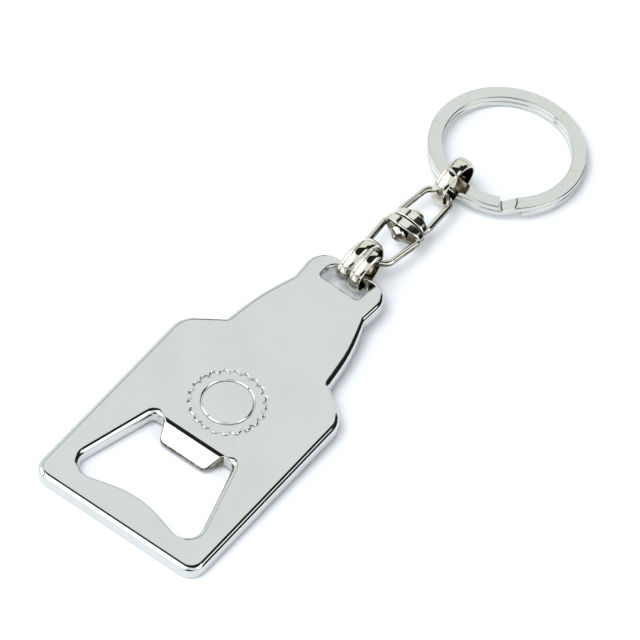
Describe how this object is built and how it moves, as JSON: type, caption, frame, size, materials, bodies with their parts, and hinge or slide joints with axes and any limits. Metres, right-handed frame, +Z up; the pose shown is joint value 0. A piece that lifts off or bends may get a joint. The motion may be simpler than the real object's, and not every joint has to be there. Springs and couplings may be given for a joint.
{
  "type": "keychain bottle opener",
  "caption": "Bottle-shaped bright metal bottle opener plate with a cap-lifting tongue, joined by jump rings and a riveted wire swivel to a flat split key ring.",
  "frame": {"origin": "centre of the bounding box on the floor the opener lies on", "axes": "+X along the plate from its bottom edge towards the key ring, +Z up, away from the floor"},
  "size_m": [0.139, 0.04, 0.0107],
  "materials": {
    "opener_plate": "bright nickel plating on a polished casting",
    "lower_jump_ring": "bright nickel plating on steel",
    "swivel_lower_stirrup": "bright nickel plating on steel",
    "swivel_rivet": "bright nickel plating on steel",
    "swivel_upper_stirrup": "bright nickel plating on steel",
    "upper_jump_ring": "bright nickel plating on steel",
    "split_key_ring": "bright nickel plating on steel"
  },
  "bodies": {
    "opener": {"opener_plate": "opener_plate"},
    "lower_ring": {"lower_jump_ring": "lower_jump_ring"},
    "lower_stirrup": {"swivel_lower_stirrup": "swivel_lower_stirrup"},
    "rivet": {"swivel_rivet": "swivel_rivet"},
    "upper_stirrup": {"swivel_upper_stirrup": "swivel_upper_stirrup"},
    "upper_ring": {"upper_jump_ring": "upper_jump_ring"},
    "key_ring": {"split_key_ring": "split_key_ring"}
  },
  "joints": [
    {"name": "ring_on_end_bar", "type": "hinge", "parent": "opener", "child": "lower_ring", "pos_m": [0.00788, 0, 0.00386], "axis": [0, -1, 0], "range_deg": [-90, 40]},
    {"name": "bow_on_lower_ring", "type": "hinge", "parent": "lower_ring", "child": "lower_stirrup", "pos_m": [0.01647, -0.00048, 0.0044], "axis": [0, 0, 1], "range_deg": [-45, 45]},
    {"name": "rivet_turn", "type": "hinge", "parent": "lower_stirrup", "child": "rivet", "pos_m": [0.02422, -0.00076, 0.0044], "axis": [0.9993, -0.0366, 0], "continuous": true},
    {"name": "swivel_turn", "type": "hinge", "parent": "lower_stirrup", "child": "upper_stirrup", "pos_m": [0.02422, -0.00076, 0.0044], "axis": [0.9993, -0.0366, 0], "continuous": true},
    {"name": "ring_on_upper_bow", "type": "hinge", "parent": "upper_stirrup", "child": "upper_ring", "pos_m": [0.03506, -0.00116, 0.0044], "axis": [-0.0366, -0.9993, 0], "range_deg": [-60, 60]},
    {"name": "key_ring_on_ring", "type": "hinge", "parent": "upper_ring", "child": "key_ring", "pos_m": [0.03915, -0.00141, 0.00328], "axis": [-0.165, -0.9863, 0], "range_deg": [-45, 45]}
  ]
}
